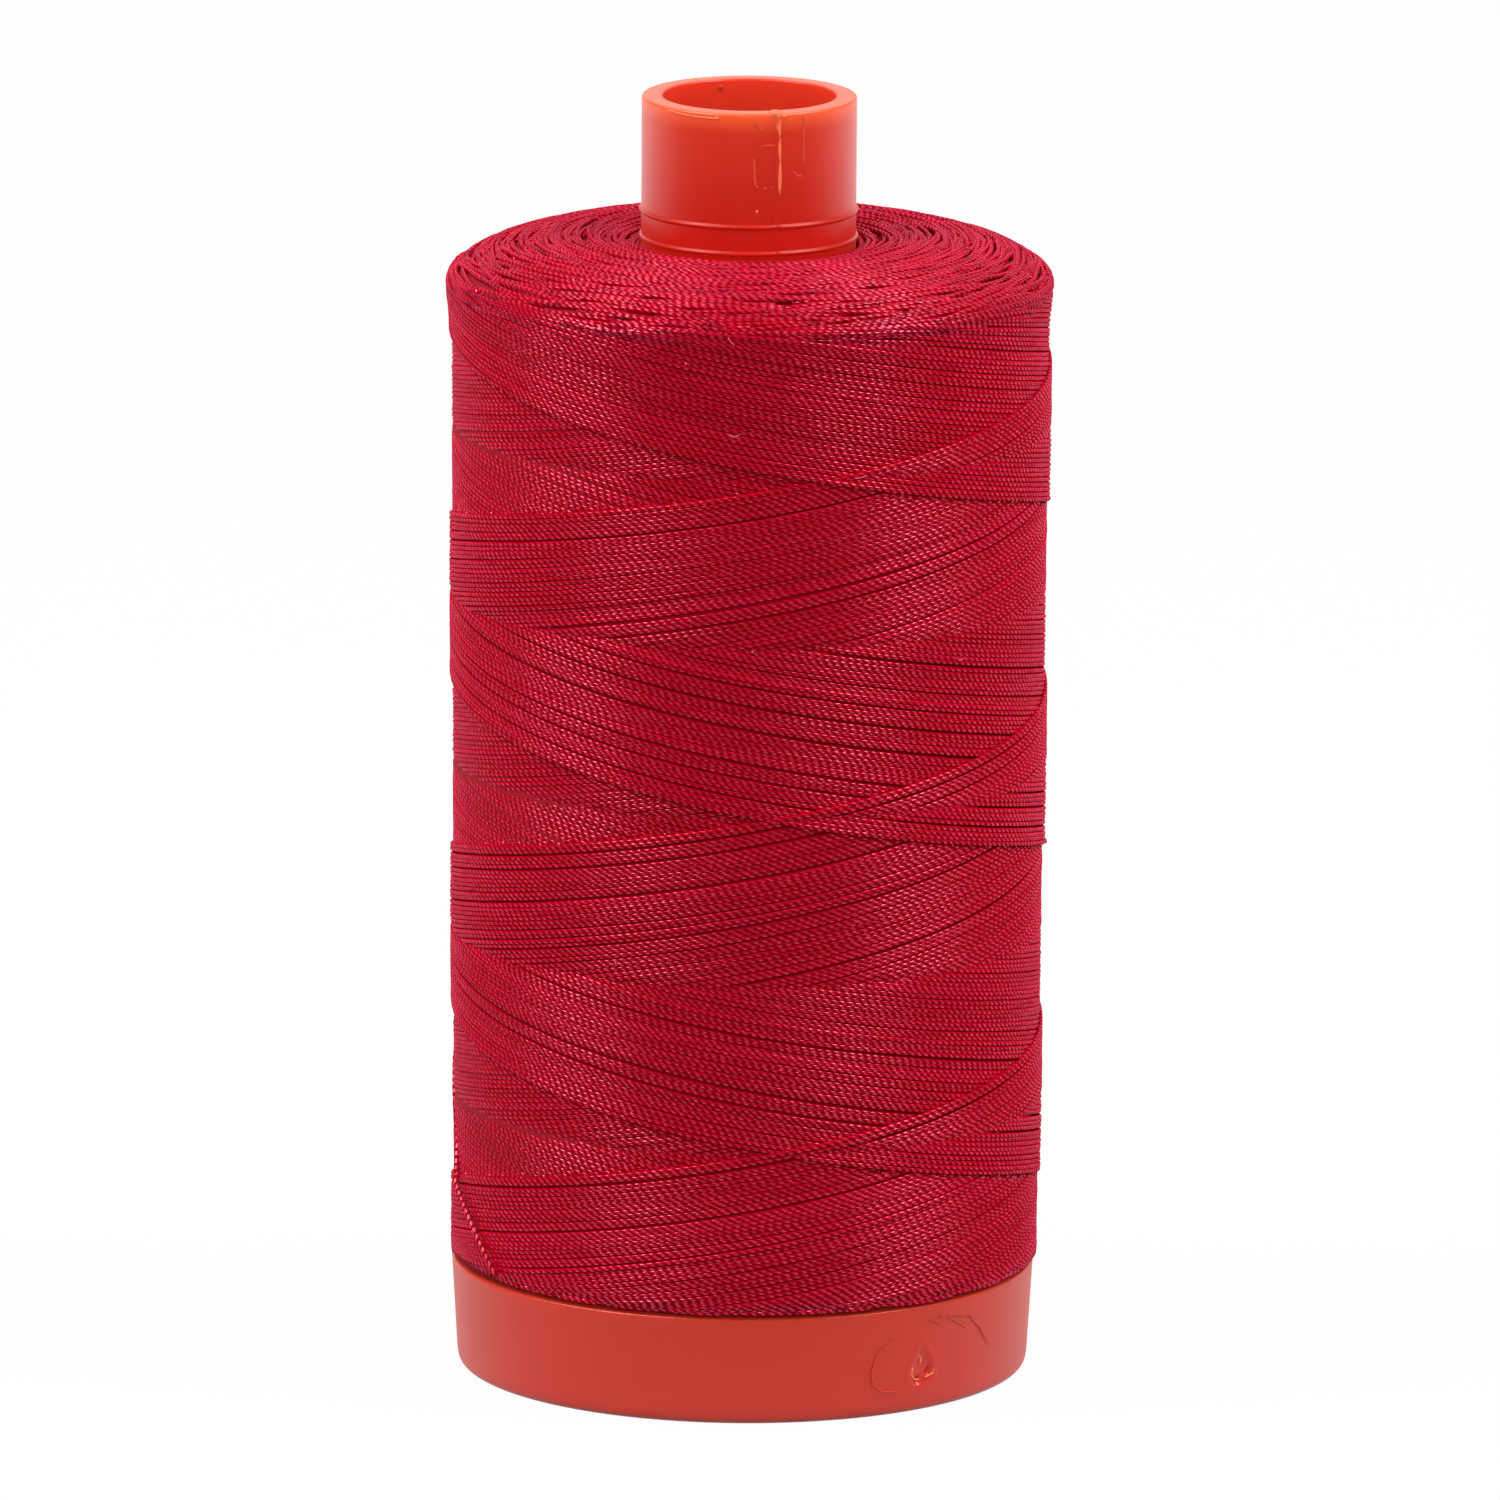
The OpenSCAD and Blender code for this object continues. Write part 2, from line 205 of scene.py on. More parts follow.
# Painted light and shade by height: deeper red just above the thread, paler and more orange at the
# top rim.
painted_light_tint = add_node(tree, "ValToRGB", [("Fac", up.outputs[0])])
painted_light_tint.color_ramp.elements[0].color = linear("#D23422")
painted_light_tint.color_ramp.elements[1].color = linear("#F06030")
for share, code in ((0.1, "#CE301B"), (0.9, "#BE1406"), (0.935, "#C2200F"), (0.959, "#CB2916"),
                    (0.985, "#D03018")):
    painted_light_tint.color_ramp.elements.new(share).color = linear(code)
flat_place = add_node(tree, "VectorMath", [(0, place), (1, (1, 1, 0))], operation="MULTIPLY")
from_axis = add_node(tree, "VectorMath", [(0, flat_place.outputs[0])], operation="LENGTH")
outside = add_node(tree, "MapRange", [("Value", from_axis.outputs["Value"]),
                                      ("From Min", 0.0051), ("From Max", 0.0055)])
shade = add_node(tree, "Mix", [("Factor", outside.outputs[0]), ("A", linear("#D2341C")),
                               ("B", painted_light_tint.outputs["Color"])], data_type="RGBA")
tree.links.new(shade.outputs["Result"], surface.inputs["Base Color"])
surface.inputs["Sheen Weight"].default_value = 0.45
surface.inputs["Sheen Roughness"].default_value = 0.4
surface.inputs["Sheen Tint"].default_value = (1.0, 0.12, 0.08, 1.0)
surface.inputs["Roughness"].default_value = 0.34
surface.inputs["IOR"].default_value = 1.59
surface.inputs["Subsurface Weight"].default_value = 0.35
surface.inputs["Subsurface Radius"].default_value = (1.0, 0.3, 0.12)
surface.inputs["Subsurface Scale"].default_value = 0.0018
waves = add_node(tree, "TexNoise", [("Vector", place), ("Scale", 260.0), ("Detail", 2.0)])
bump = add_node(tree, "Bump", [("Height", waves.outputs["Fac"]), ("Strength", 0.25),
                               ("Distance", 0.00004)])
tree.links.new(bump.outputs["Normal"], surface.inputs["Normal"])

piece("core_moulding", core, styrene, "spool", "orange_plastic", "spool_core")

# What is left of the gate on the rim, and the flash down the front parting line
marks = bmesh.new()
bead(marks, 284.9, 6.0, 75.98, 0.9, 0.44, 0.4)
bead(marks, 288.5, 6.18, 75.85, 0.5, 0.3, 0.2)
wisp(marks, ((285.5, 75.8), (285.8, 74.6), (286.1, 73.2), (286.4, 71.5)), TUBE_R, 0.3, 0.13)
wisp(marks, ((222, 75.82), (230, 75.74), (238, 75.7), (246, 75.68), (252, 75.68)), TUBE_R - 0.01,
     0.12, 0.06)
bead(marks, 252.5, TUBE_R, 75.7, 0.3, 0.2, 0.08)
bead(marks, 274.4, TUBE_R, 70.22, 0.17, 0.17, 0.035)

# Faint scuffs on either side of it, and the specks that they end in
scuffs = bmesh.new()
for spots, thick in ((((299.8, 75.7), (300.5, 74.5), (300.6, 73.1)), 0.16),
                     (((272.8, 73.2), (272.9, 72.4), (273.6, 71.8)), 0.18),
                     (((273.0, 75.5), (274.5, 75.2), (277.0, 75.0)), 0.2),
                     (((277.5, 74.1), (281, 74.14), (284, 74.08)), 0.15),
                     (((294.5, 72.5), (296.4, 72.25), (298.9, 72.2)), 0.14)):
    wisp(scuffs, spots, TUBE_R, thick, 0.012)
for azimuth, height, size in ((274.4, 71.69, 0.15), (278.6, 71.57, 0.17), (282.4, 71.62, 0.13)):
    bead(scuffs, azimuth, TUBE_R, height, size, size, 0.03)


def highlit_styrene(name, dark, light):
    """The same plastic on its small raised marks, where it was torn or rubbed: less glossy, and
    paler and more orange, a painted highlight for the light these marks catch.
    """
    worn, tree, surface, place = shader(name)
    grain = add_node(tree, "TexNoise", [("Vector", place), ("Scale", 3000.0)])
    pale = add_node(tree, "ValToRGB", [("Fac", grain.outputs["Fac"])])
    pale.color_ramp.elements[0].color = linear(dark)
    pale.color_ramp.elements[1].color = linear(light)
    tree.links.new(pale.outputs["Color"], surface.inputs["Base Color"])
    surface.inputs["Roughness"].default_value = 0.45
    return worn


# Paler colours on the mould marks, the gate's lips and the scuffs: painted highlight for the light
# these raised marks catch.
marks_highlit_styrene = highlit_styrene("marks_painted_highlight_polystyrene", "#E85A34", "#F88860")
scuffs_highlit_styrene = highlit_styrene("scuffs_painted_highlight_polystyrene", "#CE3019", "#DC4E34")
piece("mould_marks", marks, marks_highlit_styrene, "spool", "orange_plastic")
piece("rim_scuffs", scuffs, scuffs_highlit_styrene, "spool", "orange_plastic")

# ---- Base cup ----------------------------------------------------------------------------------
# A second polystyrene moulding: a shallow drafted cup with a foot ring, and inside it a ribbed
# socket that grips the core's foot. It was gated through its side.

CUP_H, CUP_RIM_R, CUP_FOOT_R, CUP_WALL = 6.45, 17.18, 16.797, 1.1
FLOOR_Z, RECESS, SOCKET_R, LIP_R, SOCKET_TOP = 1.6, 0.4, 7.62, 6.52, 5.0
FLOOR_HOLE_R, RIM_EDGE = 5.33, 0.15
RIB_SIZE, RIB_PLACE = (9.2, 0.8, 1.8), (11.6, 0, 1.9)


def cup_r(z):
    """Radius of the cup's drafted side at a height."""
    return CUP_FOOT_R + (CUP_RIM_R - CUP_FOOT_R) * z / CUP_H


cup = turned(
    [(FLOOR_HOLE_R, RECESS), (14.297, RECESS), (14.697, 0.0)]
    + arc(CUP_FOOT_R - 0.5, 0.5, 0.5, 0.5, -90, 0)
    + [(cup_r(0.7 + 0.2 * i), 0.7 + 0.2 * i) for i in range(27)]
    + arc(CUP_RIM_R - RIM_EDGE, CUP_H - RIM_EDGE, RIM_EDGE, RIM_EDGE, 0, 90)
    + arc(CUP_RIM_R - CUP_WALL + RIM_EDGE, CUP_H - RIM_EDGE, RIM_EDGE, RIM_EDGE, 90, 180)
    + [(cup_r(FLOOR_Z) - CUP_WALL, FLOOR_Z), (SOCKET_R, FLOOR_Z), (SOCKET_R, SOCKET_TOP)]
    + [(LIP_R, SOCKET_TOP), (LIP_R, 3.7), (6.58, 3.53), (6.58, 2.67), (LIP_R, 2.5)]
    + [(LIP_R, FLOOR_Z), (FLOOR_HOLE_R, FLOOR_Z)], 720
)
GATE_AZ, GATE_Z = 308.6, 2.85
for vert in cup.verts:
    radius, azimuth = hypot(vert.co.x, vert.co.y), degrees(atan2(vert.co.y, vert.co.x)) % 360
    across, up = radians(azimuth - GATE_AZ) * radius, vert.co.z - GATE_Z
    if abs(radius - cup_r(vert.co.z)) < 0.05 and hypot(across, up) < 2:
        spot = hypot(across / (0.8 - 0.35 * up), up / 1.2)
        pit = 0.14 * max(0.0, 1 - spot ** 2) - 0.05 * exp(-((spot - 1.12) / 0.14) ** 2)
        pit += 0.5 * exp(-((across + 0.25) ** 2 + (up + 0.95) ** 2) / 0.04)
        pit += 0.5 * exp(-((across - 0.55) ** 2 + (up + 0.5) ** 2) / 0.03)
        vert.co.xy *= (radius - pit) / radius
# Faint lines where the plastic flowed round the gate
for line in (((300.6, 4.66), (297.7, 3.91), (296.5, 2.79), (297.1, 1.97), (298.9, 1.61),
              (302.0, 1.49)),
             ((310.3, 5.42), (313.5, 5.58), (321.2, 5.17), (324.8, 4.29), (328.5, 3.1)),
             ((309.8, 5.51), (312.8, 5.13)), ((315.2, 5.37), (319.8, 4.64))):
    wisp(cup, line, cup_r(line[0][1]), 0.12, 0.018)
for turn in (45, 135, 225, 315):
    rib = bmesh.ops.create_cube(cup, size=1.0)["verts"]
    bmesh.ops.scale(cup, vec=RIB_SIZE, verts=rib)
    bmesh.ops.translate(cup, vec=RIB_PLACE, verts=rib)
    bmesh.ops.rotate(cup, cent=(0, 0, 0), matrix=Matrix.Rotation(radians(turn), 3, "Z"), verts=rib)

piece("cup_moulding", cup, styrene, "base", "orange_plastic", "base_cup")

# The torn lips of the gate's pit
torn = bmesh.new()
wisp(torn, ((306.2, 2.7), (306.0, 2.3), (306.6, 2.02), (307.8, 1.95)), cup_r(2), 0.14, 0.07)
wisp(torn, ((309.4, 2.05), (310.4, 2.1), (311.6, 2.2), (311.8, 2.6)), cup_r(2), 0.12, 0.06)
wisp(torn, ((307.6, 3.5), (308.5, 3.2), (308.2, 2.9)), cup_r(3) - 0.1, 0.12, 0.06)
# The lips are painted paler, as a highlight where they catch the light.
piece("gate_tear", torn, marks_highlit_styrene, "base", "orange_plastic")

# ---- Wound thread ------------------------------------------------------------------------------
# Two-ply mercerised cotton, cross-wound: each stroke up the tube lies a strand's width from the
# last one, each stroke down crosses it, and the youngest strands lie on top.

STRAND_R = 0.13
STRANDS = 72            # strands side by side in one lead of the winding
STEP_DEG = 360 / STRANDS
RING_DEG = 4.0          # azimuth between the rings of points along a strand
SIDES = 6
LAYER = 0.17            # rise of the surface over the edge of the youngest strands
FOOT_Z, WAIST_Z, SHOULDER_Z = 6.9, 62.65, 64.85
DOME_Z, DOME_R, WIND_R = 67.65, 9.5, 17.83
FOOT_R, LEAN, WAIST_R, SWELL = 17.35, 0.3, 17.65, 0.18
RISE_SLOPE, FALL_SLOPE = 0.0547, 0.0562     # mm of climb in a degree
OFF_AXIS = 0.16         # how far the winding has run to the right of the tube's axis

# Height of the youngest strand of each stroke, over its unrolled azimuth
RISING = ((-20, 0.2), (180, 11.1), (360, 20.8), (540, 31.0), (720, 40.85), (900, 50.9),
          (1080, 60.2), (1260, 70.1))
FALLING = ((0, 72.7), (180, 62.4), (359, 52.08), (540, 41.8), (719, 31.45), (900, 21.7),
           (1079, 11.4), (1280, 0.0))


# Where neighbours have parted and show a dark line: a strand's index, and the line's height
RISING_GAPS = ((1.5, 16), (11.5, 13), (1.5, 35.5), (4.5, 34.5), (11.5, 33), (21.5, 30), (33.5, 28),
               (60.5, 39), (5.5, 54), (24.5, 49), (27.5, 48), (52.5, 60.5))
FALLING_GAPS = ((9.5, 19.5), (12.5, 20), (24.5, 24), (3.5, 37.5), (7.5, 38.5), (10.5, 39.5),
                (17.5, 41.5), (22.5, 43), (26.5, 45.5), (36.5, 46), (55.5, 34), (53.5, 53.5),
                (57.5, 54), (60.5, 54))


def between(table, x, a=0, b=1):
    """Straight-line reading of a table of pairs, from column a to column b."""
    keys = [row[a] for row in table]
    if keys[0] > keys[-1]:
        table, keys = table[::-1], keys[::-1]
    i = min(max(bisect(keys, x), 1), len(keys) - 1)
    low, high = table[i - 1], table[i]
    return low[b] + (high[b] - low[b]) * (x - low[a]) / (high[a] - low[a])


def flank_r(z):
    """Radius of the winding's outside at a height on its flank and shoulder."""
    if z < WAIST_Z:
        return FOOT_R + LEAN * (z - FOOT_Z) / (WAIST_Z - FOOT_Z)
    return WAIST_R + SWELL * sin(pi / 2 * min(1, (z - WAIST_Z) / (SHOULDER_Z - WAIST_Z)))


# The outside of the winding as (length along it, radius, height), up the flank and over the dome
skin = [(z, flank_r(z), z) for z in (0.0, FOOT_Z, WAIST_Z, 63.1, 63.5, 64.0, 64.4, SHOULDER_Z)]
for r, z in (arc(DOME_R, SHOULDER_Z, WIND_R - DOME_R, DOME_Z - SHOULDER_Z, 0, 90, 24)[1:]
             + arc(DOME_R, DOME_Z - 0.6, DOME_R - TUBE_R, 0.6, 90, 180, 12)[1:]):
    skin.append((skin[-1][0] + hypot(r - skin[-1][1], z - skin[-1][2]), r, z))
skin_keys = [row[0] for row in skin]


def on_skin(way, out):
    """Radius and height at a length along the winding's outside, moved out square to it."""
    i = min(max(bisect(skin_keys, way), 1), len(skin) - 1)
    (a, ra, za), (b, rb, zb) = skin[i - 1], skin[i]
    share = (way - a) / (b - a)
    dr, dz = (rb - ra) / (b - a), (zb - za) / (b - a)
    return ra + (rb - ra) * share + out * dz, za + (zb - za) * share - out * dr, dr, dz


def top_of(azimuth, z):
    """How far the lay stands out of the skin at a place: most where both strands are young."""
    risen = (azimuth - between(RISING, z, 1, 0)) % 360
    fallen = (azimuth - between(FALLING, z, 1, 0)) % 360
    return LAYER * (1 - (risen + fallen) / 360)


TOP_WAY, LOW_WAY = 65.2, 6.83   # where strokes turn back, measured along the skin
TURN_DEG = 38.0                 # azimuth over which a stroke bends round into its turn
EDGE_SHARE = 0.06               # share of a turn over which a strand sinks under older ones
LIFT_AZ = 203.0                 # where the loose end props the lowest turns up a little


def eased(straight, slope, low, top):
    """A straight stroke's place along the skin, bent into its turns; None once it is past one."""
    reach = slope * TURN_DEG
    for end, sign in ((top, 1), (low, -1)):
        start = end - sign * reach / 2
        past = sign * (straight - start)
        if past > reach * 1.1:
            return None
        if past > 0:
            return start + sign * (past - past * past / (2 * reach))
    return straight


def lay_strand(rises, index, dice):
    """The stations of one stroke, in runs where it can be seen.

    A station is (azimuth, way, radius, height, dr, dz), the last two along the skin.
    """
    own, other, gaps = ((RISING, FALLING, RISING_GAPS) if rises
                        else (FALLING, RISING, FALLING_GAPS))
    age, other_age = ((index + 0.5) / STRANDS, 0.0) if rises else (index / STRANDS, 0.5 / STRANDS)
    slope = RISE_SLOPE if rises else FALL_SLOPE
    top, low = TOP_WAY + dice.uniform(-0.5, 0.5), LOW_WAY + dice.uniform(-0.08, 0.14)
    nudge, lift = dice.gauss(0, 0.014), dice.gauss(0, 0.012)
    wander = [(dice.uniform(0.005, 0.014), dice.uniform(0, tau), k) for k in (0.7, 2.1)]
    stations = []
    for step in range(int(own[0][0] // RING_DEG), int(own[-1][0] // RING_DEG)):
        turn = step * RING_DEG
        straight = between(own, turn)
        way = eased(straight, slope, low, top)
        if way is None:
            continue
        azimuth = turn + index * STEP_DEG
        rival = ((azimuth - between(other, straight, 1, 0)) % 360) / 360 + other_age
        edge = rival - age
        drop = min(1.0, max(0.0, 0.5 - edge / EDGE_SHARE))
        out = LAYER * (1 - age - rival - drop) - STRAND_R + lift
        way += nudge + sum(a * sin(radians(turn) * k + p) for a, p, k in wander)
        way += 0.3 * exp(-(way - LOW_WAY)) * exp(-((azimuth % 360 - LIFT_AZ) / 12) ** 2)
        for gap, height in gaps:
            push = 0.07 * exp((0.5 - abs(index - gap)) / 2) * exp(-((straight - height) / 6) ** 2)
            way += push if rises == (index < gap) else -push
        stations.append((azimuth, way, out, edge > -EDGE_SHARE / 2))
    runs, run = [], []
    for i, station in enumerate(stations):
        if any(near[3] for near in stations[max(0, i - 1):i + 2]):
            azimuth, way, out, _ = station
            run.append((azimuth, way, *on_skin(way, out)))
        else:
            runs, run = runs + [run], []
    return [r for r in runs + [run] if len(r) > 1]


def ring_points(run):
    """Each station of a run as its centre and the way out of the skin there."""
    centres, outs = [], []
    for azimuth, _, r, z, dr, dz in run:
        c, s = cos(radians(azimuth)), sin(radians(azimuth))
        centres.append(Vector((r * c + OFF_AXIS, r * s, z)))
        outs.append(Vector((dz * c, dz * s, -dr)))
    return centres, outs


PLY_TURN = 1.0          # length of strand in which its two plies make one turn
UV_TURN, UV_WAY = 372, 90       # degrees and millimetres that fill the bake map


def strands(name, runs, material, body, *nodes, flat=0.8, full=1.0, sides=SIDES,
            twist=0.0, slack=0.25):
    """Strands as one piece: a long grid, a row for each station, rolled into tubes.

    They are plain tubes, and the material draws their plies, unless twist shapes these too.
    """
    rows = sum(len(run) for run in runs)
    bm = bmesh.new()
    ply, tone = bm.verts.layers.float_vector.new("ply"), bm.verts.layers.float.new("tone")
    loose = bm.verts.layers.float.new("slack")
    unwrap = bm.loops.layers.uv.new("OFBake")
    bmesh.ops.create_grid(bm, x_segments=sides, y_segments=rows - 1, size=1.0)
    bm.verts.ensure_lookup_table()
    dice = random.Random(name)
    place, breaks, row = {}, set(), 0
    for run in runs:
        shade, along = dice.random(), dice.uniform(0, 1)
        centres, outs = ring_points(run)
        for i, (centre, out) in enumerate(zip(centres, outs)):
            ahead = (centres[min(i + 1, len(run) - 1)] - centres[max(i - 1, 0)]).normalized()
            side = ahead.cross(out).normalized()
            out = side.cross(ahead)
            along += (centre - centres[max(i - 1, 0)]).length
            for k in range(sides + 1):
                vert = bm.verts[row * (sides + 1) + k]
                c, s = cos(tau * (k + 0.5) / sides), sin(tau * (k + 0.5) / sides)
                bulge = abs(cos(tau * along / PLY_TURN) * c + sin(tau * along / PLY_TURN) * s)
                thick = STRAND_R * full * (1 + twist * (bulge - 0.6))
                vert.co = centre + thick * (flat * c * out + (2.0 - flat) * s * side)
                vert[ply] = Vector((along, max(c, 0.7) if twist else c, s))
                vert[tone], vert[loose] = shade, slack
                place[vert] = (row, k, run[i][0], run[i][1] + STRAND_R * s)
            row += 1
        breaks.add(row - 1)
    gaps = []
    for face in bm.faces:
        spots = [place[loop.vert] for loop in face.loops]
        low_row, column = min(s[0] for s in spots), min(s[1] for s in spots)
        if low_row in breaks:
            gaps.append(face)
            continue
        outward = cos(tau * (column + 1) / sides) > 0.1
        turns = min(s[2] for s in spots) // 360 * 360
        for loop, (_, k, azimuth, way) in zip(face.loops, spots):
            up = 0.04 + way / UV_WAY if outward else 0.03 * (k - column)
            loop[unwrap].uv = ((azimuth - turns) / UV_TURN, up)
    bmesh.ops.delete(bm, geom=gaps, context="FACES")
    bmesh.ops.remove_doubles(bm, verts=bm.verts, dist=0.00005)
    bmesh.ops.holes_fill(bm, edges=[e for e in bm.edges if e.is_boundary], sides=sides)
    bmesh.ops.recalc_face_normals(bm, faces=bm.faces)
    return piece(name, bm, material, body, "crimson_thread", *nodes)


cotton, tree, surface, _ = shader("mercerised_cotton_thread")
# Mercerised two-ply cotton: smooth, with a silky sheen that follows the plies. They make one
# turn round each other in about a millimetre, so a bead shows every half millimetre.
ply = add_node(tree, "Attribute", attribute_name="ply").outputs["Vector"]
axes = add_node(tree, "SeparateXYZ", [(0, ply)])
angle = add_node(tree, "Math", [(0, axes.outputs["X"]), (1, tau / PLY_TURN)], operation="MULTIPLY")
cosine = add_node(tree, "Math", [(0, angle.outputs[0])], operation="COSINE")
sine = add_node(tree, "Math", [(0, angle.outputs[0])], operation="SINE")
across = add_node(tree, "Math", [(0, cosine.outputs[0]), (1, axes.outputs["Y"])],
                  operation="MULTIPLY")
lobes = add_node(tree, "Math", [(0, sine.outputs[0]), (1, axes.outputs["Z"]),
                                (2, across.outputs[0])], operation="MULTIPLY_ADD")
ridge = add_node(tree, "Math", [(0, lobes.outputs[0])], operation="ABSOLUTE")
tone = add_node(tree, "Attribute", attribute_name="tone").outputs["Fac"]
dyed = add_node(tree, "ValToRGB", [("Fac", tone)])
dyed.color_ramp.elements[0].color = linear("#9A0014")
dyed.color_ramp.elements[1].color = linear("#B00020")
# Painted shade: the dyed colour is darkened a little in the grooves between the plies.
painted_groove_shade = add_node(tree, "ValToRGB", [("Fac", ridge.outputs[0])])
painted_groove_shade.color_ramp.elements[0].color = linear("#E0E0E0")
painted_groove_shade.color_ramp.elements[1].color = linear("#FFFFFF")
painted_groove_shade.color_ramp.elements[1].position = 0.6
shaded = add_node(tree, "Mix", [("Factor", 1.0), ("A", dyed.outputs["Color"]),
                                ("B", painted_groove_shade.outputs["Color"])],
                  data_type="RGBA", blend_type="MULTIPLY")
tree.links.new(shaded.outputs["Result"], surface.inputs["Base Color"])
surface.inputs["Subsurface Weight"].default_value = 0.8
surface.inputs["Subsurface Radius"].default_value = (1.0, 0.2, 0.3)
surface.inputs["Subsurface Scale"].default_value = 0.0003
surface.inputs["Roughness"].default_value = 0.4
surface.inputs["Specular IOR Level"].default_value = 0.0
bloom = add_node(tree, "MapRange", [("Value", axes.outputs["Y"]), ("From Min", 0.45),
                                    ("From Max", 0.9), ("To Max", 0.18)])
tree.links.new(bloom.outputs[0], surface.inputs["Sheen Weight"])
surface.inputs["Sheen Roughness"].default_value = 0.3
surface.inputs["Sheen Tint"].default_value = (1.0, 0.42, 0.68, 1.0)
slack = add_node(tree, "Attribute", attribute_name="slack").outputs["Fac"]
plump = add_node(tree, "Math", [(0, slack), (1, 0.00008)], operation="MULTIPLY")
soft = add_node(tree, "Bump", [("Height", ridge.outputs[0]), ("Strength", 1.0),
                               ("Distance", plump.outputs[0])])
tree.links.new(soft.outputs["Normal"], surface.inputs["Normal"])
patchy = add_node(tree, "TexNoise", [("Vector", ply), ("Scale", 0.9), ("Detail", 2.0)])
gleam = add_node(tree, "MapRange", [("Value", patchy.outputs["Fac"]), ("From Min", 0.35),
                                    ("From Max", 0.65), ("To Min", 0.26), ("To Max", 0.78)])
crown = add_node(tree, "MapRange", [("Value", ridge.outputs[0]), ("From Min", 0.61),
                                    ("To Min", 0.01), ("To Max", gleam.outputs[0])])
lustre = add_node(tree, "Mix", [("Factor", crown.outputs[0]), ("A", (0.0, 0.0, 0.0, 1.0)),
                                ("B", linear("#F07089"))], data_type="RGBA")
spread = add_node(tree, "MapRange", [("Value", slack), ("From Min", 0.25), ("From Max", 1.1),
                                     ("To Min", 0.24), ("To Max", 0.4)])
silk = add_node(tree, "BsdfAnisotropic", [("Color", lustre.outputs["Result"]),
                                          ("Roughness", spread.outputs[0])])
mixed = add_node(tree, "AddShader", [(0, surface.outputs[0]), (1, silk.outputs[0])])
tree.links.new(mixed.outputs[0], tree.nodes["Material Output"].inputs["Surface"])

bed_cotton, _, surface, _ = shader("buried_cotton")
# The strands under the outer lay, seen only as dark red in the gaps between those on top.
surface.inputs["Base Color"].default_value = linear("#9C0420")
surface.inputs["Roughness"].default_value = 0.9

BED_IN = 0.34           # depth of the bed under the skin
bed_skin = ([on_skin(7.3 + 2.0 * i, -BED_IN)[:2] for i in range(29)]
            + [on_skin(65.0 + 0.4 * i, -BED_IN - 0.01 * min(i, 6))[:2] for i in range(36)])
bed = turned([(6.32, 8.4), (6.9, 7.62), (16.85, 7.18), (16.85, 6.74), (17.12, 6.74)] + bed_skin
             + [(6.32, bed_skin[-1][1] - 0.2)], 180)
piece("winding_bed", bed, bed_cotton, "spool", "crimson_thread", "thread_package")

dice = random.Random(11)
rising = [run for j in range(STRANDS) for run in lay_strand(True, j, dice)]
falling = [run for j in range(1, STRANDS) for run in lay_strand(False, j, dice)]
strands("rising_strands", rising, cotton, "spool", "thread_package")
strands("falling_strands", falling, cotton, "spool", "thread_package")

# ---- Dome of the winding -----------------------------------------------------------------------
# At the top each stroke turns back a little lower than the one before it, and the turns lie on
# each other like scales, from the shoulder in to the tube.

DOME_START, DOME_END = 65.0, skin_keys[-1]
DOME_PITCH, ARC_LENGTH, STATION_GAP = 0.2, 7.0, 1.2     # between rings, of an arc, along it
dome = []
way = DOME_START
while way < DOME_END:
    radius = on_skin(way, 0)[0]
    loose = 0.05 + 0.07 * min(1.0, (way - DOME_START) / 3.0)
    count = max(5, round(tau * radius / ARC_LENGTH))
    spin_start = dice.uniform(0, 360)
    for k in range(count):
        centre_az = spin_start + 360 * (k + dice.uniform(-0.2, 0.2)) / count
        half = 360 / count * dice.uniform(0.55, 0.85)
        reach = radians(half) * radius
        sag, tilt = dice.uniform(0.0, 0.1) * reach, dice.uniform(-0.12, 0.12) * reach
        peak = way + dice.uniform(-0.15, 0.15)
        depth = dice.uniform(0.0, loose)
        n = max(5, int(2 * reach / STATION_GAP))
        run = []
        for i in range(n + 1):
            x = 2 * i / n - 1
            at = min(DOME_END, peak - sag * x * x + tilt * x + dice.uniform(-0.05, 0.05))
            out = dice.uniform(-0.02, 0.02) - 0.1 - depth - 0.12 * x * x
            run.append((centre_az + half * x, at, *on_skin(at, out)))
        dome.append(run)
    way += DOME_PITCH
strands("dome_strands", dome, cotton, "spool", "thread_package", flat=0.9, full=1.05, slack=1.0)

# ---- Loose end ---------------------------------------------------------------------------------
# The thread's last wrap down the winding and the tail that leaves it: slack round the back,
# steep down the left side, then nipped in the seam and laid in the cup.

LEAVE_AZ, LEAVE_Z, SEAM_Z = 360.0, 31.45, 6.6
TAIL_SWEEP, TAIL_STEPS = 213, 424       # degrees from the last wrap to the seam, and stations
FREE_FROM, FREE_OVER = 0.885, 0.02      # share of the tail where it comes off the winding
SLACK = ((0, 1), (0.1, 0.94), (0.2, 0.875), (0.3, 0.81), (0.4, 0.745), (0.5, 0.675), (0.6, 0.61),
         (0.7, 0.555), (0.75, 0.525), (0.8, 0.49), (0.83, 0.455), (0.86, 0.375), (0.88, 0.295),
         (0.9, 0.23), (0.92, 0.19), (0.95, 0.14), (0.98, 0.078), (1, 0.032))
DIVE = ((0.7, 17.42, 7.22), (1.6, 17.22, 7.0), (3, 16.95, 6.76), (5, 16.4, 6.6), (7, 15.9, 6.4),
        (9, 15.65, 6.0), (11, 15.65, 5.5)) + tuple((13 + 4 * i, 15.65, 5.05) for i in range(18))
last_run = []
for step in range(-137, 1):
    turn = 359 + step * RING_DEG
    straight = between(FALLING, turn + 360)
    way = eased(straight, FALL_SLOPE, LOW_WAY - 20, TOP_WAY)
    if way is None:
        continue
    rival = ((turn - between(RISING, straight, 1, 0)) % 360) / 360
    last_run.append((turn, way, *on_skin(way, LAYER * (1 - rival) - STRAND_R + 0.02)))
